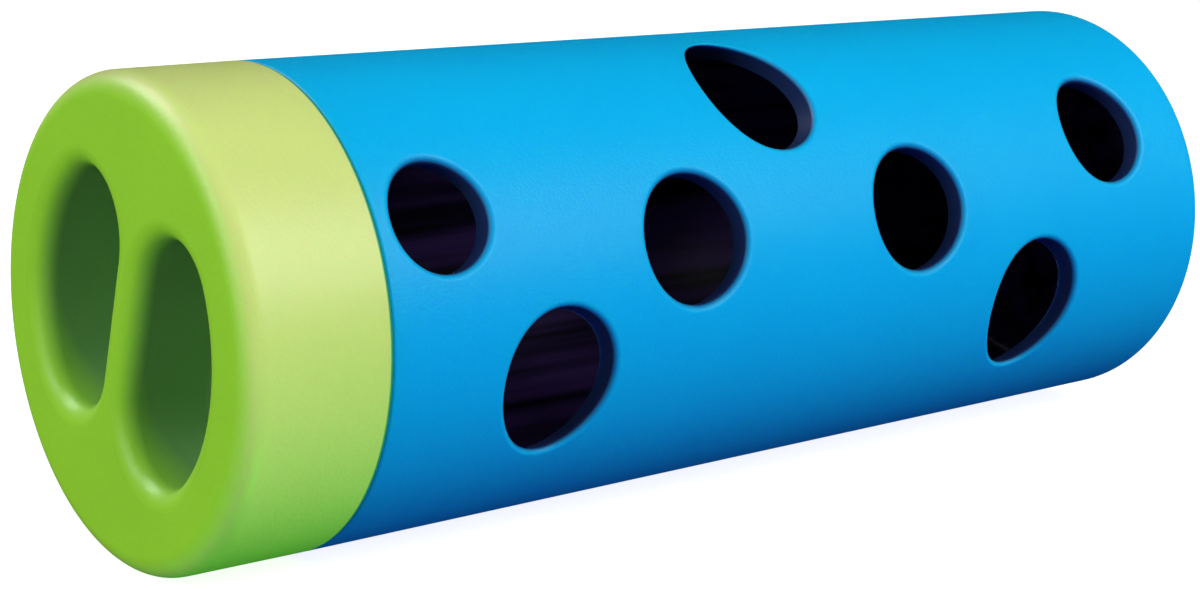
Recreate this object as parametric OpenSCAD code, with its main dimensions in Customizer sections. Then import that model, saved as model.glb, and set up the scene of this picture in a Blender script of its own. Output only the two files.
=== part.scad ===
// Treat dispensing roller: a perforated tube, filled through a soft grip cap at one end.
// Millimetres. The axis lies along X with the cap at -X, Z is up, and it rests on z = 0.

/* [Body] */
// Outer diameter of the tube where it meets the cap
body_d = 60; // [54:0.5:80]
// Diameter lost between the cap and the closed end, as mould draft
body_taper = 2; // [0:0.1:3]
// Whole length, cap included
total_len = 162; // [145:0.5:220]
// Wall thickness of the tube
wall = 3; // [2.2:0.1:3.6]
// Thickness of the closed end
base_t = 3; // [2:0.1:6]
// Rounding of the closed end's edge
base_edge_r = 2; // [0.5:0.1:4]

/* [Treat holes] */
// Diameter of the full-size holes
hole_d = 16.2; // [8:0.1:17]
// Diameter of the small hole beside the cap
small_hole_d = 13.2; // [6:0.1:14]
// Diameter of the hole beside the closed end
end_hole_d = 15; // [6:0.1:17]
// Direction in which the front holes are moulded, above the horizontal
pull_angle = 15; // [0:1:40]

/* [Cap] */
// Length of the cap that shows beyond the tube
cap_len = 19; // [17:0.1:28]
// Rounding of the cap's front edge
rim_r = 3; // [1.5:0.1:4.5]
// Thickness of the soft skirt round the core
skirt_t = 1.7; // [1.2:0.1:2.2]
// Small rounding on both sides of the seam
seam_r = 0.4; // [0.2:0.1:0.8]

/* [Finger grip] */
// Width of the grip bar between the two finger pockets
bar_w = 6; // [5:0.1:10]
// Distance across both finger pockets, square to the bar
pocket_span = 40.8; // [37:0.2:44]
// Lean of the grip bar from the vertical
grip_lean = 17.5; // [0:0.5:90]
// Depth of the finger pockets
pocket_depth = 14; // [6:0.5:14]
// Rounding of the bar's edges and of the pocket mouths
pocket_edge_r = 2.8; // [1:0.1:3]
// Wall of the cup behind the pockets
cup_t = 2.2; // [1.4:0.1:3]

/* [Closure] */
// Wall of the neck that the cap slips over
neck_t = 2.2; // [1.4:0.1:2.4]
// Wall of the hard core inside the cap
core_t = 1.2; // [0.8:0.1:1.6]
// Gap between the neck and the core that slides on it
slide_gap = 0.3; // [0.2:0.05:0.5]

/* [Hidden] */
$fn = 96;
eps = 0.5;

body_r = body_d / 2;
end_r = body_r - body_taper / 2;
tube_len = total_len - cap_len;

// Cap and neck radii, worked inward from the outside
core_out_r = body_r - skirt_t;
core_in_r = core_out_r - core_t;
neck_r = core_in_r - slide_gap;
neck_bore_r = neck_r - neck_t;
pocket_r = min(pocket_span / 2, neck_bore_r - 1.6, body_r - rim_r - pocket_edge_r - 0.3);
cup_r = min(pocket_r + cup_t, neck_bore_r - 0.4);

// Stations along the axis, from the front of the cap
flange_z = rim_r + 1.4;
flange_t = 1.2;
neck_z = flange_z + flange_t + slide_gap;
core_end_z = cap_len - 0.5;
pocket_floor_z = min(pocket_depth, cap_len - 3.2);
cup_end_z = pocket_floor_z + 1.8;

// A finger pocket's corners meet its outer arc on a 3-4-5 line, so that every joint round it is exact
pocket_corner_r = (0.8 * pocket_r - bar_w / 2) / 1.8;
corner_x = 0.6 * (pocket_r - pocket_corner_r);
corner_y = 0.8 * (pocket_r - pocket_corner_r);

// Each hole: place along the tube, offset across the pull as a share of the radius, diameter
FRONT_HOLES = [
    [0.063, 0.21, small_hole_d],
    [0.171, -0.467, hole_d],
    [0.321, 0, hole_d],
    [0.453, 0.595, hole_d],
    [0.594, 0, hole_d],
    [0.757, -0.488, hole_d],
    [0.871, 0.247, end_hole_d],
];
BACK_HOLES = [
    [0.073, -0.233, small_hole_d],
    [0.173, 0.467, hole_d],
    [0.244, -0.333, hole_d],
    [0.450, 0.133, hole_d],
    [0.542, -0.6, hole_d],
    [0.735, -0.517, hole_d],
    [0.820, 0.167, end_hole_d],
];

// Turns a solid drawn up Z from the cap's front face into the lying part
module on_axis() {
    translate([-total_len / 2, 0, body_r])
        rotate([0, 90, 0])
            children();
}

// What rounding a square corner takes away; "into" points from the corner into the material
module edge_cut(at, r, into) {
    translate(at)
        difference() {
            translate([into[0] > 0 ? -eps : -r, into[1] > 0 ? -eps : -r])
                square(r + eps);
            translate([into[0] * r, into[1] * r])
                circle(r);
        }
}

// The hollow inside the tube: a narrower neck, then the treat chamber
module bore_profile() {
    bore_r = body_r - wall;
    bore_end_r = end_r - wall;
    floor_z = total_len - base_t;
    difference() {
        polygon([
            [0, neck_z - 1],
            [neck_bore_r, neck_z - 1],
            [neck_bore_r, cap_len + 0.4],
            [bore_r, cap_len + 2],
            [bore_end_r, floor_z],
            [0, floor_z],
        ]);
        edge_cut([bore_end_r, floor_z], 1.5, [-1, -1]);
    }
}

module tube_profile() {
    difference() {
        polygon([
            [0, neck_z],
            [neck_r, neck_z],
            [neck_r, cap_len],
            [body_r, cap_len],
            [end_r, total_len],
            [0, total_len],
        ]);
        edge_cut([neck_r, neck_z], 0.8, [-1, 1]);
        edge_cut([body_r, cap_len], seam_r, [-1, 1]);
        edge_cut([end_r, total_len], base_edge_r, [-1, -1]);
        bore_profile();
    }
}

// One mould half's holes, all parallel, so those off the middle open as long ovals
module hole_cutters(holes, side) {
    translate([-total_len / 2, 0, body_r])
        rotate([-pull_angle, 0, 0])
            for (hole = holes)
                translate([cap_len + hole[0] * tube_len, 0, hole[1] * body_r])
                    rotate([side * 90, 0, 0])
                        cylinder(h = body_d, d = hole[2]);
}

module tube_shell() {
    color("#0f9bdc")
        difference() {
            on_axis()
                rotate_extrude()
                    tube_profile();
            hole_cutters(FRONT_HOLES, 1);
            hole_cutters(BACK_HOLES, -1);
        }
}

// The sector of a finger pocket that its outer arc spans
module arc_sector() {
    polygon([
        [-corner_x, corner_y],
        [corner_x, corner_y],
        [3 * corner_x, 3 * corner_y],
        [-3 * corner_x, 3 * corner_y],
    ]);
}

// The sector that a corner spans, from the bar round to the outer arc
module corner_sector() {
    polygon([
        [0, 0],
        [0, -24],
        [24, -24],
        [24, 24],
        [18, 24],
    ]);
}

// One finger pocket seen from the end: a D with its straight side along the bar
module pocket_outline() {
    for (side = [-1, 1])
        translate([side * corner_x, corner_y])
            circle(pocket_corner_r);
    translate([-corner_x, bar_w / 2])
        square([2 * corner_x, pocket_corner_r]);
    intersection() {
        circle(pocket_r);
        arc_sector();
    }
}

// What rounding one stretch of a pocket's mouth takes away, on an arc within a sector
module mouth_arc(r) {
    intersection() {
        rotate_extrude()
            edge_cut([r, 0], pocket_edge_r, [1, 1]);
        translate([0, 0, -2])
            linear_extrude(pocket_edge_r + 4)
                children();
    }
}

// The whole of a mouth: along the bar, round both corners and along the outer arc
module mouth_cutter() {
    translate([-corner_x, bar_w / 2, 0])
        rotate([90, 0, 90])
            linear_extrude(2 * corner_x)
                edge_cut([0, 0], pocket_edge_r, [-1, 1]);
    for (side = [0, 1])
        mirror([side, 0, 0])
            translate([corner_x, corner_y, 0])
                mouth_arc(pocket_corner_r)
                    corner_sector();
    mouth_arc(pocket_r)
        arc_sector();
}

module finger_pocket() {
    translate([0, 0, -1])
        linear_extrude(pocket_floor_z + 1)
            pocket_outline();
    mouth_cutter();
}

module cap_profile() {
    difference() {
        square([body_r, cap_len]);
        edge_cut([body_r, 0], rim_r, [-1, 1]);
        edge_cut([body_r, cap_len], seam_r, [-1, -1]);
        translate([cup_r, flange_z])
            square([core_out_r - cup_r, core_end_z - flange_z]);
        translate([0, cup_end_z])
            square([core_in_r, cap_len]);
        translate([cup_r, core_end_z - 1])
            square([core_in_r - cup_r, cap_len]);
    }
}

module end_cap() {
    color("#8fc63f")
        on_axis()
            difference() {
                rotate_extrude()
                    cap_profile();
                for (turn = [0, 180])
                    rotate([0, 0, grip_lean + turn])
                        finger_pocket();
            }
}

// The hard ring that the soft cap is moulded round; it grips the neck
module cap_core() {
    color("#5d8f2b")
        on_axis()
            rotate_extrude()
                union() {
                    translate([core_in_r, flange_z])
                        square([core_t, core_end_z - flange_z]);
                    translate([cup_r, flange_z])
                        square([core_out_r - cup_r, flange_t]);
                }
}

tube_shell();
end_cap();
cap_core();
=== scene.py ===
"""Dresses the treat dispensing roller: a blue tube with rounded treat holes and a soft green grip cap."""

import math

import bpy
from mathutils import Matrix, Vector
from mathutils.geometry import delaunay_2d_cdt


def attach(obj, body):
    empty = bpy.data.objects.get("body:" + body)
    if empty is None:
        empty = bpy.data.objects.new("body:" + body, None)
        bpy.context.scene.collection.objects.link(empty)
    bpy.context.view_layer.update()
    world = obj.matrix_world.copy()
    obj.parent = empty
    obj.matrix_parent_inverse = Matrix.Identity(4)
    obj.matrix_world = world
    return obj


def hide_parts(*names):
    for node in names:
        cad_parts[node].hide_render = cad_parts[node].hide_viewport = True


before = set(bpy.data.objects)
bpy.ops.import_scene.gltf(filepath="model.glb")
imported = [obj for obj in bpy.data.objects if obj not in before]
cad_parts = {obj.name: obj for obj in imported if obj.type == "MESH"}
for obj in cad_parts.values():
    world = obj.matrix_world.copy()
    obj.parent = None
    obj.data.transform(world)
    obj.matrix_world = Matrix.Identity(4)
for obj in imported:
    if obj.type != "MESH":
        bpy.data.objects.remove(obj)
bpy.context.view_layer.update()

# Sizes in millimetres, the same as in the part's source
MM = 0.001
LENGTH = 162.0
CAP_LEN = 19.0
BODY_R = 30.0
END_R = 29.0
WALL = 3.0
BASE_T = 3.0
BASE_EDGE_R = 2.0
SEAM_R = 0.4
HOLE_R = 8.1
SMALL_HOLE_R = 6.6
END_HOLE_R = 7.5
PULL = math.radians(15.0)

NECK_R = 26.8
NECK_BORE_R = 24.6
NECK_Z = 5.9
NECK_EDGE_R = 0.8
NECK_BORE_END = CAP_LEN + 0.4
BORE_START = CAP_LEN + 2.0
BORE_EDGE_R = 1.5
CORE_IN_R = 27.1
CORE_OUT_R = 28.3
CORE_TOP_Z = 4.4
CORE_END_Z = 18.5
CUP_R = 22.6
CUP_END_Z = 15.8

RIM_R = 3.0
FACE_R = BODY_R - RIM_R
POCKET_R = 20.4
POCKET_CORNER_R = 7.4
POCKET_FLOOR_Z = 14.0
MOUTH_R = 2.8
BAR_W = 6.0
GRIP_LEAN = math.radians(17.5)

# Finer forms that only the visual model has: rounded hole edges, and draft and rounding inside the pockets
HOLE_EDGE_R = 0.9
HOLE_EDGE_MIN = 0.15
POCKET_DRAFT = 0.5
POCKET_FLOOR_R = 3.0

# How square a hole's wall meets the skin, 1 at right angles: the limits of its smallest and full rounding
SHARP_EDGE = 0.5
SQUARE_EDGE = 0.85

# Half of a pocket's length along the bar
POCKET_HALF = 15.2

# Each hole: place along the tube and across the pull, as shares, and radius
FRONT_HOLES = [
    (0.063, 0.21, SMALL_HOLE_R),
    (0.171, -0.467, HOLE_R),
    (0.321, 0.0, HOLE_R),
    (0.453, 0.595, HOLE_R),
    (0.594, 0.0, HOLE_R),
    (0.757, -0.488, HOLE_R),
    (0.871, 0.247, END_HOLE_R),
]
BACK_HOLES = [
    (0.073, -0.233, SMALL_HOLE_R),
    (0.173, 0.467, HOLE_R),
    (0.244, -0.333, HOLE_R),
    (0.450, 0.133, HOLE_R),
    (0.542, -0.6, HOLE_R),
    (0.735, -0.517, HOLE_R),
    (0.820, 0.167, END_HOLE_R),
]


class Shell:
    """Collects faces with a normal at each corner, and merges corners that meet."""

    def __init__(self):
        self.index = {}
        self.points = []
        self.faces = []
        self.normals = []
        self.slots = []

    def vert(self, p):
        key = tuple(round(c, 4) for c in p)
        if key not in self.index:
            self.index[key] = len(self.points)
            self.points.append(Vector(p))
        return self.index[key]

    def face(self, corners, normals, slot=0):
        ids = [self.vert(p) for p in corners]
        keep = [i for i in range(len(ids)) if ids[i] != ids[i - 1]]
        if len(keep) < 3:
            return
        ids = [ids[i] for i in keep]
        ns = [Vector(normals[i]) for i in keep]
        a, b, c = (self.points[i] for i in ids[:3])
        if (b - a).cross(c - a).dot(ns[0] + ns[1] + ns[2]) < 0:
            ids.reverse()
            ns.reverse()
        self.faces.append(ids)
        self.normals.extend(ns)
        self.slots.append(slot)

    def strip(self, row_a, row_b, normals_a, normals_b, slot=0, closed=True):
        count = len(row_a)
        for i in range(count if closed else count - 1):
            j = (i + 1) % count
            self.face(
                [row_a[i], row_a[j], row_b[j], row_b[i]],
                [normals_a[i], normals_a[j], normals_b[j], normals_b[i]],
                slot,
            )

    def build(self, name, materials):
        mesh = bpy.data.meshes.new(name)
        mesh.from_pydata([p * MM for p in self.points], [], self.faces)
        mesh.polygons.foreach_set("material_index", self.slots)
        mesh.shade_smooth()
        mesh.normals_split_custom_set([n.normalized() for n in self.normals])
        for material in materials:
            mesh.materials.append(material)
        piece = bpy.data.objects.new(name, mesh)
        bpy.context.scene.collection.objects.link(piece)
        return piece


def place(s, v, t):
    """World millimetres of a point s behind the cap's front, v across the mould pull and t along it."""
    return Vector((
        s - LENGTH / 2,
        v * math.sin(PULL) - t * math.cos(PULL),
        BODY_R + v * math.cos(PULL) + t * math.sin(PULL),
    ))


def turn(s, v, t):
    """The same for a direction."""
    return place(s, v, t) - place(0, 0, 0)


def outer_r(s):
    return BODY_R + (END_R - BODY_R) * (s - CAP_LEN) / (LENGTH - CAP_LEN)


def inner_r(s):
    return outer_r(s) - WALL


# Tube

HALF_STEPS = 84
TURN_STEPS = 2 * HALF_STEPS
HOLE_STEPS = 72
EDGE_STEPS = 8
SEAM_STEPS = 4
BORE_EDGE_STEPS = 6
GRID = 2.2
END_RING_R = 12

# Material slots of the tube
PLASTIC, HOLE, INSIDE = 0, 1, 2


def angles():
    return [math.pi * (i / HALF_STEPS - 0.5) for i in range(TURN_STEPS)]


def ring(s, r):
    return [place(s, r * math.sin(a), r * math.cos(a)) for a in angles()]


def ring_normals(ns, nr):
    return [turn(ns, nr * math.sin(a), nr * math.cos(a)) for a in angles()]


def revolve(shell, profile, slot=0):
    """profile holds (s, r, normal along s, normal outward); each neighbouring pair becomes a band."""
    for (s0, r0, a0, b0), (s1, r1, a1, b1) in zip(profile, profile[1:]):
        shell.strip(ring(s0, r0), ring(s1, r1), ring_normals(a0, b0), ring_normals(a1, b1), slot)


def arc(s, r, radius, start, end, steps=8, inward=False):
    """Profile of a rounded edge about (s, r); angles are in degrees, 0 along the axis and 90 outward."""
    flip = -1 if inward else 1
    points = []
    for i in range(steps + 1):
        a = math.radians(start + (end - start) * i / steps)
        along, out = math.cos(a), math.sin(a)
        points.append((s + radius * along, r + radius * out, flip * along, flip * out))
    return points


def band(s0, r0, s1, r1, ns, nr):
    return [(s0, r0, ns, nr), (s1, r1, ns, nr)]


def span(lo, hi, step):
    count = max(2, round((hi - lo) / step))
    return [lo + (hi - lo) * i / count for i in range(count + 1)]


def within(loop, x, y):
    """True for a point inside a closed loop of points."""
    hit = False
    for (x0, y0), (x1, y1) in zip(loop, loop[1:] + loop[:1]):
        if (y0 > y) != (y1 > y) and x < (x1 - x0) * (y - y0) / (y1 - y0) + x0:
            hit = not hit
    return hit


def drilled_half(shell, side, s0, s1, radius, loops, normal_sign, slot):
    """One mould half of a drilled cone, triangulated flat in distance and arc, then rolled up."""
    loops = [[(s, a * BODY_R) for s, a in loop] for loop in loops]
    reach = 2.5 * HOLE_R
    clearance = 0.55 * GRID
    flat, edges = [], []

    def in_hole(x, y):
        return any(abs(x - loop[0][0]) < reach and within(loop, x, y) for loop in loops)

    half = [math.pi * (i / HALF_STEPS - 0.5) * BODY_R for i in range(HALF_STEPS + 1)]
    stations = span(s0, s1, GRID)
    for i, y in enumerate(half):
        for j, x in enumerate(stations):
            on_edge = i in (0, HALF_STEPS) or j in (0, len(stations) - 1)
            near = any(min(math.hypot(x - p[0], y - p[1]) for p in loop) < clearance for loop in loops)
            if on_edge or not (near or in_hole(x, y)):
                flat.append((x, y))
    for loop in loops:
        first, count = len(flat), len(loop)
        flat += loop
        edges += [(first + k, first + (k + 1) % count) for k in range(count)]
    points, _, triangles, *_ = delaunay_2d_cdt([Vector(p) for p in flat], edges, [], 0, 1e-6)
    for tri in triangles:
        corners = [points[k] for k in tri]
        if in_hole(sum(c[0] for c in corners) / 3, sum(c[1] for c in corners) / 3):
            continue
        turned = [(c[0], c[1] / BODY_R) for c in corners]
        shell.face(
            [place(s, radius(s) * math.sin(a), side * radius(s) * math.cos(a)) for s, a in turned],
            [turn(0, normal_sign * math.sin(a), normal_sign * side * math.cos(a)) for s, a in turned],
            slot,
        )


def hole_frames(holes):
    return [(CAP_LEN + along * (LENGTH - CAP_LEN), across * BODY_R, r) for along, across, r in holes]


def edge_round(v):
    """Rounding of a hole's edge, which is smaller where the pull leaves a thin sharp edge."""
    squareness = math.sqrt(max(0.0, 1 - (v / BODY_R) ** 2))
    share = max(0.0, min(1.0, (squareness - SHARP_EDGE) / (SQUARE_EDGE - SHARP_EDGE)))
    return HOLE_EDGE_MIN + (HOLE_EDGE_R - HOLE_EDGE_MIN) * share


def drill(shell, holes, side, s0, s1, i0, i1):
    """The outer skin, rounded hole edges, hole walls and inner skin of one mould half."""
    outer_loops, inner_loops = [], []
    row_count = EDGE_STEPS + 3
    for hx, hv, r in hole_frames(holes):
        rows = [[] for _ in range(row_count)]
        norms = [[] for _ in range(row_count)]
        outer_loop, inner_loop = [], []
        for k in range(HOLE_STEPS):
            f = 2 * math.pi * k / HOLE_STEPS
            ws, wv = hx + r * math.cos(f), hv + r * math.sin(f)
            edge_r = edge_round(wv)
            cs, cv = hx + (r + edge_r) * math.cos(f), hv + (r + edge_r) * math.sin(f)
            ball_r = outer_r(cs) - edge_r
            ct = math.sqrt(ball_r ** 2 - cv ** 2)
            up = Vector((0, cv / ball_r, ct / ball_r))
            wall = Vector((-math.cos(f), -math.sin(f), 0))
            between = math.acos(max(-1, min(1, up.dot(wall))))
            for e in range(EDGE_STEPS + 1):
                share = e / EDGE_STEPS
                n = up * math.sin((1 - share) * between) + wall * math.sin(share * between)
                n /= math.sin(between)
                p = Vector((cs, cv, ct)) + n * edge_r
                rows[e].append(place(p[0], p[1], side * p[2]))
                norms[e].append(turn(n[0], n[1], side * n[2]))
            wt = math.sqrt(inner_r(ws) ** 2 - wv ** 2)
            for e, share in ((EDGE_STEPS + 1, 0.5), (EDGE_STEPS + 2, 1.0)):
                rows[e].append(place(ws, wv, side * (ct + (wt - ct) * share)))
                norms[e].append(turn(wall[0], wall[1], 0))
            outer_loop.append((cs, math.atan2(cv, ct)))
            inner_loop.append((ws, math.atan2(wv, wt)))
        for e in range(EDGE_STEPS + 2):
            shell.strip(rows[e], rows[e + 1], norms[e], norms[e + 1], HOLE)
        outer_loops.append(outer_loop)
        inner_loops.append(inner_loop)
    drilled_half(shell, side, s0, s1, outer_r, outer_loops, 1, PLASTIC)
    drilled_half(shell, side, i0, i1, inner_r, inner_loops, -1, INSIDE)


def tube_shell(materials):
    shell = Shell()
    skin_start, skin_end = CAP_LEN + SEAM_R, LENGTH - BASE_EDGE_R
    floor_s = LENGTH - BASE_T
    bore_end = floor_s - BORE_EDGE_R
    drill(shell, FRONT_HOLES, 1, skin_start, skin_end, BORE_START, bore_end)
    drill(shell, BACK_HOLES, -1, skin_start, skin_end, BORE_START, bore_end)
    edge_r = outer_r(skin_end)
    revolve(shell, arc(skin_end, edge_r - BASE_EDGE_R, BASE_EDGE_R, 90, 0))
    revolve(shell, band(LENGTH, edge_r - BASE_EDGE_R, LENGTH, END_RING_R, 1, 0) + [(LENGTH, 0, 1, 0)])
    seam_r = outer_r(skin_start)
    revolve(shell, arc(skin_start, seam_r - SEAM_R, SEAM_R, 90, 180, SEAM_STEPS))
    revolve(shell, band(CAP_LEN, seam_r - SEAM_R, CAP_LEN, NECK_R, -1, 0))
    neck_top, neck_top_r = NECK_Z + NECK_EDGE_R, NECK_R - NECK_EDGE_R
    revolve(shell, band(CAP_LEN, NECK_R, neck_top, NECK_R, 0, 1))
    revolve(shell, arc(neck_top, neck_top_r, NECK_EDGE_R, 90, 180, SEAM_STEPS))
    revolve(shell, band(NECK_Z, neck_top_r, NECK_Z, NECK_BORE_R, -1, 0))
    revolve(shell, band(NECK_Z, NECK_BORE_R, NECK_BORE_END, NECK_BORE_R, 0, -1), INSIDE)
    slope = Vector((BODY_R - WALL - NECK_BORE_R, NECK_BORE_END - BORE_START)).normalized()
    revolve(shell, band(NECK_BORE_END, NECK_BORE_R, BORE_START, inner_r(BORE_START), *slope), INSIDE)
    bore_r = inner_r(bore_end) - BORE_EDGE_R
    revolve(shell, arc(bore_end, bore_r, BORE_EDGE_R, 90, 0, BORE_EDGE_STEPS, inward=True), INSIDE)
    revolve(shell, band(floor_s, bore_r, floor_s, END_RING_R, -1, 0) + [(floor_s, 0, -1, 0)], INSIDE)
    return shell.build("roller_tube", materials)


# Cap

MOUTH_STEPS = 10
FLOOR_STEPS = 6
RIM_STEPS = 14
SKIRT_STEP = 2.0
CUP_RING_R = 10

# Material slots of the cap
SKIN, POCKET, INNER = 0, 1, 2


def pocket_outline(offset, steps=12):
    """The D of one finger pocket, as (x, y, outward x, outward y), grown outward by offset."""
    cy = BAR_W / 2 + POCKET_CORNER_R
    cx = math.sqrt((POCKET_R - POCKET_CORNER_R) ** 2 - cy ** 2)
    lean = math.atan2(cx, cy)
    points = []

    def sweep(x, y, radius, start, end, count):
        for i in range(count):
            a = start + (end - start) * i / count
            nx, ny = math.sin(a), math.cos(a)
            points.append((x + (radius + offset) * nx, y + (radius + offset) * ny, nx, ny))

    sweep(0, 0, POCKET_R, -lean, lean, 3 * steps)
    sweep(cx, cy, POCKET_CORNER_R, lean, math.pi, 2 * steps)
    for i in range(2 * steps):
        x = cx - 2 * cx * i / (2 * steps)
        points.append((x, BAR_W / 2 - offset, 0.0, -1.0))
    sweep(-cx, cy, POCKET_CORNER_R, math.pi, 2 * math.pi - lean, 2 * steps)
    return points


def grip(x, y, s, turned):
    """World millimetres of a point on the grip face, drawn with the bar along x."""
    flip = -1 if turned else 1
    c, w = math.cos(GRIP_LEAN), math.sin(GRIP_LEAN)
    down, across = flip * (x * c - y * w), flip * (x * w + y * c)
    return Vector((s - LENGTH / 2, across, BODY_R - down))


def grip_turn(x, y, s, turned):
    return grip(x, y, s, turned) - grip(0, 0, 0, turned)


def finger_pocket(shell, turned):
    """Rounded mouth, drafted wall, rounded floor edge and floor of one pocket."""
    rows, norms = [], []

    def add_row(offset, s, out, back):
        outline = pocket_outline(offset)
        rows.append([grip(x, y, s, turned) for x, y, _, _ in outline])
        norms.append([grip_turn(-nx * out, -ny * out, -back, turned) for _, _, nx, ny in outline])

    for e in range(MOUTH_STEPS + 1):
        a = math.pi / 2 * e / MOUTH_STEPS
        add_row(MOUTH_R * (1 - math.sin(a)), MOUTH_R * (1 - math.cos(a)), math.sin(a), math.cos(a))
    for e in range(FLOOR_STEPS + 1):
        a = math.pi / 2 * e / FLOOR_STEPS
        offset = -POCKET_DRAFT - POCKET_FLOOR_R * (1 - math.cos(a))
        add_row(offset, POCKET_FLOOR_Z - POCKET_FLOOR_R * (1 - math.sin(a)), math.cos(a), math.sin(a))
    for k in range(len(rows) - 1):
        shell.strip(rows[k], rows[k + 1], norms[k], norms[k + 1], POCKET)
    shell.face(rows[-1], norms[-1], POCKET)


def grip_face(shell):
    """The flat face between the rounded rim and the two pocket mouths."""
    mouths = [[(flip * x, flip * y) for x, y, _, _ in pocket_outline(MOUTH_R)] for flip in (1, -1)]
    rim = [(FACE_R * math.sin(a), FACE_R * math.cos(a)) for a in cap_angles()]
    flat, edges = [], []
    for loop in [rim] + mouths:
        first = len(flat)
        flat += loop
        edges += [(first + k, first + (k + 1) % len(loop)) for k in range(len(loop))]
    points, _, triangles, *_ = delaunay_2d_cdt([Vector(p) for p in flat], edges, [], 0, 1e-6)
    outward = grip_turn(0, 0, -1, False)
    for tri in triangles:
        corners = [(points[k][0], points[k][1]) for k in tri]
        x, y = sum(c[0] for c in corners) / 3, sum(c[1] for c in corners) / 3
        if not any(within(mouth, x, y) for mouth in mouths):
            shell.face([grip(cx, cy, 0, False) for cx, cy in corners], [outward] * 3)


def cap_angles():
    return [2 * math.pi * i / TURN_STEPS for i in range(TURN_STEPS)]


def cap_ring(s, r):
    return [grip(r * math.sin(a), r * math.cos(a), s, False) for a in cap_angles()]


def cap_normals(ns, nr):
    return [grip_turn(nr * math.sin(a), nr * math.cos(a), ns, False) for a in cap_angles()]


def cap_revolve(shell, profile, slot=SKIN):
    """As revolve, with the rings set round the grip face."""
    for (s0, r0, a0, b0), (s1, r1, a1, b1) in zip(profile, profile[1:]):
        shell.strip(cap_ring(s0, r0), cap_ring(s1, r1), cap_normals(a0, b0), cap_normals(a1, b1), slot)


def end_cap(materials):
    shell = Shell()
    grip_face(shell)
    for turned in (False, True):
        finger_pocket(shell, turned)
    cap_revolve(shell, arc(RIM_R, FACE_R, RIM_R, 180, 90, RIM_STEPS))
    cap_revolve(shell, [(s, BODY_R, 0, 1) for s in span(RIM_R, CAP_LEN - SEAM_R, SKIRT_STEP)])
    cap_revolve(shell, arc(CAP_LEN - SEAM_R, BODY_R - SEAM_R, SEAM_R, 90, 0, SEAM_STEPS))
    cap_revolve(shell, band(CAP_LEN, BODY_R - SEAM_R, CAP_LEN, CORE_IN_R, 1, 0))
    cap_revolve(shell, band(CAP_LEN, CORE_IN_R, CORE_END_Z, CORE_IN_R, 0, -1), INNER)
    cap_revolve(shell, band(CORE_END_Z, CORE_IN_R, CORE_END_Z, CORE_OUT_R, -1, 0), INNER)
    cap_revolve(shell, band(CORE_END_Z, CORE_OUT_R, CORE_TOP_Z, CORE_OUT_R, 0, -1), INNER)
    cap_revolve(shell, band(CORE_TOP_Z, CORE_OUT_R, CORE_TOP_Z, CUP_R, 1, 0), INNER)
    cap_revolve(shell, band(CORE_TOP_Z, CUP_R, CUP_END_Z, CUP_R, 0, 1), INNER)
    cap_revolve(shell, band(CUP_END_Z, CUP_R, CUP_END_Z, CUP_RING_R, 1, 0) + [(CUP_END_Z, 0, 1, 0)], INNER)
    return shell.build("grip_cap", materials)


# Materials

def new_material(name):
    material = bpy.data.materials.new(name)
    material.use_nodes = True
    tree = material.node_tree
    return material, tree, tree.nodes["Principled BSDF"]


def add(tree, kind, **values):
    node = tree.nodes.new(kind)
    for key, value in values.items():
        setattr(node, key, value)
    return node


def noise(tree, coords, scale, detail=3.0):
    node = add(tree, "ShaderNodeTexNoise")
    node.inputs["Scale"].default_value = scale
    node.inputs["Detail"].default_value = detail
    tree.links.new(coords, node.inputs["Vector"])
    return node.outputs["Fac"]


def ramp(tree, fac, stops):
    node = add(tree, "ShaderNodeValToRGB")
    elements = node.color_ramp.elements
    while len(elements) < len(stops):
        elements.new(0.5)
    for element, (position, colour) in zip(elements, stops):
        element.position = position
        element.color = (*colour, 1.0)
    tree.links.new(fac, node.inputs["Fac"])
    return node.outputs["Color"]


def bump(tree, height, shader, strength, distance):
    node = add(tree, "ShaderNodeBump")
    node.inputs["Strength"].default_value = strength
    node.inputs["Distance"].default_value = distance
    tree.links.new(height, node.inputs["Height"])
    tree.links.new(node.outputs["Normal"], shader.inputs["Normal"])


def stretched(tree, coords, scale):
    node = add(tree, "ShaderNodeMapping")
    node.inputs["Scale"].default_value = scale
    tree.links.new(coords, node.inputs["Vector"])
    return node.outputs["Vector"]


def from_axis(tree, coords):
    """The same coordinates, counted from the tube's axis."""
    node = add(tree, "ShaderNodeVectorMath", operation="SUBTRACT")
    node.inputs[1].default_value = (0.0, 0.0, BODY_R * MM)
    tree.links.new(coords, node.inputs[0])
    return node.outputs["Vector"]


def below_skin(tree, coords):
    """Depth below the tube's tapered outer face, in metres."""
    radial = add(tree, "ShaderNodeVectorMath", operation="MULTIPLY")
    radial.inputs[1].default_value = (0.0, 1.0, 1.0)
    tree.links.new(from_axis(tree, coords), radial.inputs[0])
    radius = add(tree, "ShaderNodeVectorMath", operation="LENGTH")
    tree.links.new(radial.outputs["Vector"], radius.inputs[0])
    split = add(tree, "ShaderNodeSeparateXYZ")
    tree.links.new(coords, split.inputs["Vector"])
    skin = add(tree, "ShaderNodeMapRange")
    skin.inputs["From Min"].default_value = (CAP_LEN - LENGTH / 2) * MM
    skin.inputs["From Max"].default_value = LENGTH / 2 * MM
    skin.inputs["To Min"].default_value = BODY_R * MM
    skin.inputs["To Max"].default_value = END_R * MM
    tree.links.new(split.outputs["X"], skin.inputs["Value"])
    depth = add(tree, "ShaderNodeMath", operation="SUBTRACT")
    tree.links.new(skin.outputs["Result"], depth.inputs[0])
    tree.links.new(radius.outputs["Value"], depth.inputs[1])
    return depth.outputs["Value"]


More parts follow.
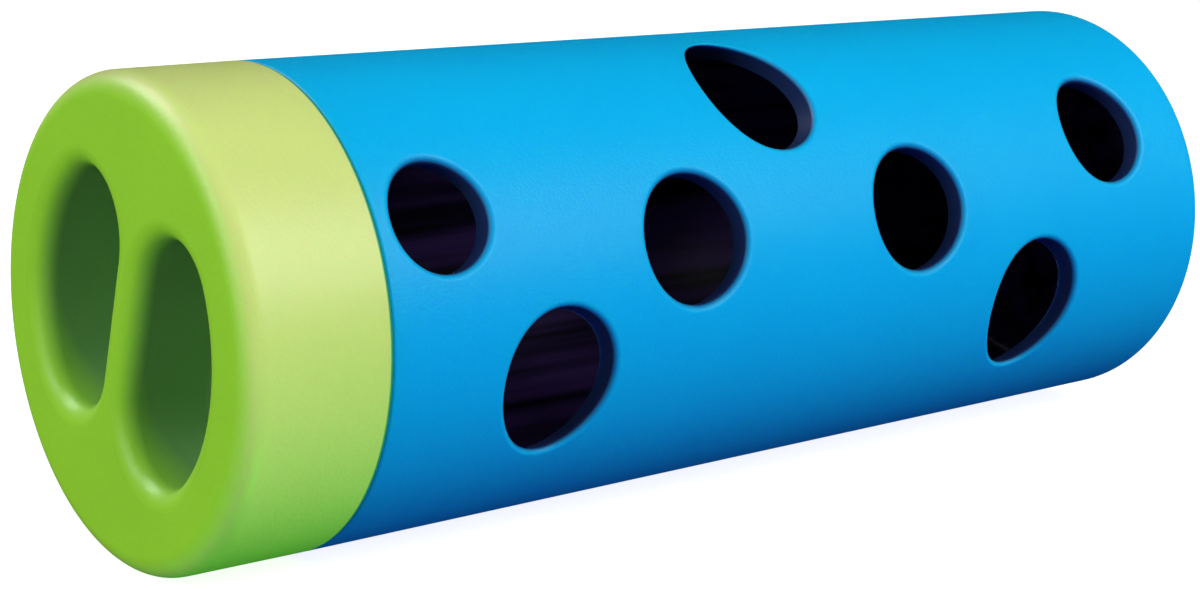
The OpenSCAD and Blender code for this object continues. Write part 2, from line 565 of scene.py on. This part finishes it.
def plastic(name, light, dark, roughness, grain, glow=0.0, hole_shade=None):
    """Moulded plastic with a slow drift of tone, a fine grain and uneven sheen.

    A painted shade colour darkens it from the skin into a hole, standing for the shade on the hole walls.
    """
    material, tree, shader = new_material(name)
    coords = add(tree, "ShaderNodeTexCoord").outputs["Object"]
    colour = ramp(tree, noise(tree, coords, 45.0, 4.0), [(0.3, dark), (0.7, light)])
    # Painted shade: the hole walls darken towards a near-black blue below the skin
    if hole_shade:
        share = add(tree, "ShaderNodeMapRange")
        share.inputs["From Min"].default_value = 0.02 * MM
        share.inputs["From Max"].default_value = 0.8 * HOLE_EDGE_R * MM
        tree.links.new(below_skin(tree, coords), share.inputs["Value"])
        blend = add(tree, "ShaderNodeMix", data_type="RGBA")
        sockets = [socket for socket in blend.inputs if socket.type == "RGBA"]
        sockets[1].default_value = (*hole_shade, 1.0)
        tree.links.new(share.outputs["Result"], blend.inputs["Factor"])
        tree.links.new(colour, sockets[0])
        colour = [socket for socket in blend.outputs if socket.type == "RGBA"][0]
    tree.links.new(colour, shader.inputs["Base Color"])
    gloss = noise(tree, coords, 700.0, 2.0)
    spread = add(tree, "ShaderNodeMapRange")
    spread.inputs["To Min"].default_value = roughness - 0.05
    spread.inputs["To Max"].default_value = roughness + 0.07
    tree.links.new(gloss, spread.inputs["Value"])
    tree.links.new(spread.outputs["Result"], shader.inputs["Roughness"])
    shader.inputs["Specular IOR Level"].default_value = 0.12
    shader.inputs["Subsurface Weight"].default_value = glow
    shader.inputs["Subsurface Radius"].default_value = (0.05, 0.25, 1.0)
    shader.inputs["Subsurface Scale"].default_value = 0.008
    bump(tree, noise(tree, coords, 2600.0, 2.0), shader, grain, 0.0001)
    return material


def shaded_bore_plastic(name, light, dark):
    """The inside of the tube, painted near black as shade, with long streaks along the axis that are
    painted reflections.
    """
    material, tree, shader = new_material(name)
    coords = add(tree, "ShaderNodeTexCoord").outputs["Object"]
    streaks = noise(tree, stretched(tree, coords, (0.04, 1.0, 1.0)), 260.0, 3.0)
    tree.links.new(ramp(tree, streaks, [(0.38, dark), (0.62, light)]), shader.inputs["Base Color"])
    shader.inputs["Roughness"].default_value = 0.4
    shader.inputs["Specular IOR Level"].default_value = 0.08
    bump(tree, streaks, shader, 0.2, 0.0002)
    return material


def along_bar(tree, coords):
    """Height above the axis measured along the leaning grip bar, in metres."""
    height = add(tree, "ShaderNodeVectorMath", operation="DOT_PRODUCT")
    height.inputs[1].default_value = (0.0, -math.sin(GRIP_LEAN), math.cos(GRIP_LEAN))
    tree.links.new(from_axis(tree, coords), height.inputs[0])
    return height.outputs["Value"]


def soft_rubber(name, stops, depth, wear, glow, lit_low_end=1.0):
    """Thermoplastic rubber that carries green light under its surface.

    The stops give its tone at shares of the depth behind the cap's front: on the skin a painted pale sheen
    on the skirt and a painted shade line at the seam, in the pockets and inside the cap painted shade that
    darkens with depth.
    A share below 1 for the lower ends makes that change slower at the pockets' lower ends, a painted light
    where they catch the light from above.
    """
    material, tree, shader = new_material(name)
    coords = add(tree, "ShaderNodeTexCoord").outputs["Object"]
    split = add(tree, "ShaderNodeSeparateXYZ")
    tree.links.new(coords, split.inputs["Vector"])
    behind = add(tree, "ShaderNodeMapRange")
    behind.inputs["From Min"].default_value = -LENGTH / 2 * MM
    behind.inputs["From Max"].default_value = (depth - LENGTH / 2) * MM
    tree.links.new(split.outputs["X"], behind.inputs["Value"])
    share = behind.outputs["Result"]
    # Painted light: the pockets' lower ends stay lighter, where light from above falls
    if lit_low_end < 1.0:
        slower = add(tree, "ShaderNodeMapRange")
        slower.inputs["From Min"].default_value = -POCKET_HALF * MM
        slower.inputs["From Max"].default_value = -POCKET_HALF / 3 * MM
        slower.inputs["To Min"].default_value = lit_low_end
        tree.links.new(along_bar(tree, coords), slower.inputs["Value"])
        stretch = add(tree, "ShaderNodeMath", operation="MULTIPLY")
        tree.links.new(share, stretch.inputs[0])
        tree.links.new(slower.outputs["Result"], stretch.inputs[1])
        share = stretch.outputs["Value"]
    tone = add(tree, "ShaderNodeMix", data_type="RGBA", blend_type="MULTIPLY")
    tone.inputs["Factor"].default_value = 1.0
    colours = [socket for socket in tone.inputs if socket.type == "RGBA"]
    tree.links.new(ramp(tree, share, stops), colours[0])
    worn = ramp(tree, noise(tree, coords, 60.0, 4.0), [(0.3, (wear, wear, wear)), (0.7, (1.0, 1.0, 1.0))])
    tree.links.new(worn, colours[1])
    mixed = [socket for socket in tone.outputs if socket.type == "RGBA"][0]
    tree.links.new(mixed, shader.inputs["Base Color"])
    shader.inputs["Roughness"].default_value = 0.4
    shader.inputs["Specular IOR Level"].default_value = 0.38
    shader.inputs["Subsurface Weight"].default_value = glow
    shader.inputs["Subsurface Radius"].default_value = (0.3, 1.0, 0.1)
    shader.inputs["Subsurface Scale"].default_value = 0.003
    bump(tree, noise(tree, coords, 1900.0, 2.0), shader, 0.35, 0.0001)
    return material


# Colours
FACE_GREEN = (0.42, 0.92, 0.047)
# Painted sheen: the skirt is painted paler than the face, standing for the pale look of its lit side
SIDE_GREEN_PAINTED_SHEEN = (0.66, 0.79, 0.24)
# Painted shade: a dark line in the crease where the cap meets the tube
SEAM_GREEN_PAINTED_SHADE = (0.02, 0.34, 0.14)
# Painted shade: pockets and the cap's inside darken towards this green with depth
PAINTED_SHADE_GREEN = (0.225, 0.49, 0.165)
LIGHT_BLUE = (0.001, 0.46, 0.91)
DARK_BLUE = (0.001, 0.44, 0.88)
# Painted shade for the hole walls, not the plastic's own colour
HOLE_SHADE_BLUE = (0.014, 0.034, 0.13)
# Painted shade for the tube's inside, with lighter painted reflection streaks along the axis
BORE_PAINTED_REFLECTION = (0.045, 0.022, 0.12)
BORE_PAINTED_SHADE = (0.004, 0.003, 0.012)
CORE_LIGHT = (0.22, 0.42, 0.05)
CORE_DARK = (0.19, 0.38, 0.04)

BLUE_ROUGHNESS = 0.40
BLUE_GRAIN = 0.30
GLOW = 0.3
SKIN_WEAR = 0.95
DEEP_WEAR = 0.9

BLUE = plastic("blue_plastic", LIGHT_BLUE, DARK_BLUE, BLUE_ROUGHNESS, BLUE_GRAIN, glow=GLOW)
# Blue plastic whose hole walls carry painted shade
HOLE_EDGE_SHADED_BLUE = plastic(
    "blue_plastic_edge_painted_shade", LIGHT_BLUE, DARK_BLUE, BLUE_ROUGHNESS, BLUE_GRAIN, glow=GLOW, hole_shade=HOLE_SHADE_BLUE,
)
# The tube's inside: painted shade with painted reflection streaks
BORE_SHADED_BLUE = shaded_bore_plastic("blue_plastic_inside_painted_shade", BORE_PAINTED_REFLECTION, BORE_PAINTED_SHADE)
# The cap's skin: a painted pale sheen on the skirt and a painted shade line at the seam
GREEN = soft_rubber(
    "green_rubber",
    [
        (0.0, FACE_GREEN),
        # painted sheen: the skirt turns paler from the rim on
        (0.065, SIDE_GREEN_PAINTED_SHEEN),
        (0.974, SIDE_GREEN_PAINTED_SHEEN),
        # painted shade line at the seam
        (0.981, SEAM_GREEN_PAINTED_SHADE),
        (0.993, SEAM_GREEN_PAINTED_SHADE),
        (0.999, SIDE_GREEN_PAINTED_SHEEN),
    ],
    CAP_LEN, SKIN_WEAR, GLOW,
)
# The cap's inside: painted shade, darker towards the closed front
INNER_GREEN_PAINTED_SHADE = soft_rubber(
    "inner_green_rubber_painted_shade", [(0.3, PAINTED_SHADE_GREEN), (0.8, FACE_GREEN)], CAP_LEN, DEEP_WEAR, 0.0,
)
# The pockets: painted shade that darkens with depth, lighter at the lower ends as painted light
POCKET_GREEN_PAINTED_SHADE = soft_rubber(
    "green_rubber_pocket_painted_shade",
    [(0.03, FACE_GREEN), (0.22, PAINTED_SHADE_GREEN)],
    POCKET_FLOOR_Z, DEEP_WEAR, 0.0, lit_low_end=0.4,
)
CORE_GREEN = plastic("green_plastic", CORE_LIGHT, CORE_DARK, 0.45, 0.08)

tube = tube_shell([BLUE, HOLE_EDGE_SHADED_BLUE, BORE_SHADED_BLUE])
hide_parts("tube_shell")
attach(tube, "tube")

cap = end_cap([GREEN, POCKET_GREEN_PAINTED_SHADE, INNER_GREEN_PAINTED_SHADE])
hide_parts("end_cap")
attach(cap, "cap")

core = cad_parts["cap_core"]
core.data.materials.clear()
core.data.materials.append(CORE_GREEN)


# Floor, light and camera

FLOOR_HALF = 6.0
FLOOR_EMISSION = 0.86


def floor():
    mesh = bpy.data.meshes.new("floor")
    corners = [(x * FLOOR_HALF, y * FLOOR_HALF, 0) for x, y in ((-1, -1), (1, -1), (1, 1), (-1, 1))]
    mesh.from_pydata(corners, [], [(0, 1, 2, 3)])
    plane = bpy.data.objects.new("floor", mesh)
    material, tree, shader = new_material("pale_floor")
    coords = add(tree, "ShaderNodeTexCoord").outputs["Object"]
    tree.links.new(
        ramp(tree, noise(tree, coords, 3.0), [(0.3, (0.48, 0.48, 0.48)), (0.7, (0.50, 0.50, 0.50))]),
        shader.inputs["Base Color"],
    )
    shader.inputs["Roughness"].default_value = 0.8
    shader.inputs["Specular IOR Level"].default_value = 0.1
    shader.inputs["Emission Color"].default_value = (1, 1, 1, 1)
    shader.inputs["Emission Strength"].default_value = FLOOR_EMISSION
    mesh.materials.append(material)
    bpy.context.scene.collection.objects.link(plane)
    plane.visible_shadow = False
    plane.visible_diffuse = False
    plane.visible_glossy = False


def area_light(name, spot, target, size, power):
    data = bpy.data.lights.new(name, "AREA")
    data.shape = "RECTANGLE"
    data.size, data.size_y = size
    data.energy = power
    lamp = bpy.data.objects.new(name, data)
    lamp.location = spot
    lamp.rotation_euler = (Vector(target) - Vector(spot)).to_track_quat("-Z", "Y").to_euler()
    bpy.context.scene.collection.objects.link(lamp)
    return lamp


def glow_light(name, piece, spot, target, size, colour, power):
    """Soft light for one piece alone, as if its own material carried light round to the shaded side."""
    lamp = area_light(name, spot, target, size, power)
    lamp.data.color = colour
    receivers = bpy.data.collections.new(name + "_receivers")
    receivers.objects.link(piece)
    lamp.light_linking.receiver_collection = receivers


def sky(strength):
    world = bpy.data.worlds.new("studio")
    world.use_nodes = True
    background = world.node_tree.nodes["Background"]
    background.inputs["Color"].default_value = (1, 1, 1, 1)
    background.inputs["Strength"].default_value = strength
    bpy.context.scene.world = world
    world.cycles_visibility.glossy = False


CAMERA_SPOT = Vector((-0.21275, -0.25745, 0.08905))
CAMERA_AIM = Vector((0.60938, 0.76963, -0.19061))
FOCAL_PIXELS = 2485.08
IMAGE_WIDTH = 1200
SENSOR_WIDTH = 36.0

# Where the lights point
MIDDLE = (0.0, 0.0, 0.03)
CAP_MIDDLE = (-0.08, 0.0, 0.03)


def camera():
    data = bpy.data.cameras.new("photo_camera")
    data.sensor_fit = "HORIZONTAL"
    data.sensor_width = SENSOR_WIDTH
    data.lens = SENSOR_WIDTH * FOCAL_PIXELS / IMAGE_WIDTH
    data.clip_start = 0.01
    data.clip_end = 50.0
    eye = bpy.data.objects.new("photo_camera", data)
    eye.location = CAMERA_SPOT
    eye.rotation_euler = CAMERA_AIM.to_track_quat("-Z", "Y").to_euler()
    bpy.context.scene.collection.objects.link(eye)
    bpy.context.scene.camera = eye


floor()
sky(0.12)
area_light("key", (0.35, -0.90, 0.63), MIDDLE, (0.7, 0.7), 11.5)
area_light("left", (-0.90, -0.10, 0.28), CAP_MIDDLE, (0.6, 0.6), 2.65)
area_light("top_left", (-0.85, 0.08, 0.60), MIDDLE, (0.28, 0.28), 2.1)

# Highlights on the rim and the pocket mouths, and a fill for the back that gives no highlights
sheen = area_light("sheen", (-0.45, 0.60, 0.85), CAP_MIDDLE, (0.6, 0.6), 9.0)
sheen.visible_diffuse = False
rear = area_light("rear", (0.10, 1.10, 0.20), MIDDLE, (0.8, 0.3), 7.0)
rear.visible_glossy = False

glow_light("cap_glow", cap, (-0.07, -0.10, -0.10), (-0.07, 0.0, 0.03), (0.06, 0.06), (0.0, 1.0, 0.0), 0.072)
glow_light("tube_glow", tube, (0.0, -0.45, -0.45), MIDDLE, (0.5, 0.5), (0.0, 0.03, 1.0), 0.72)
camera()
bpy.context.scene.view_settings.view_transform = "Standard"
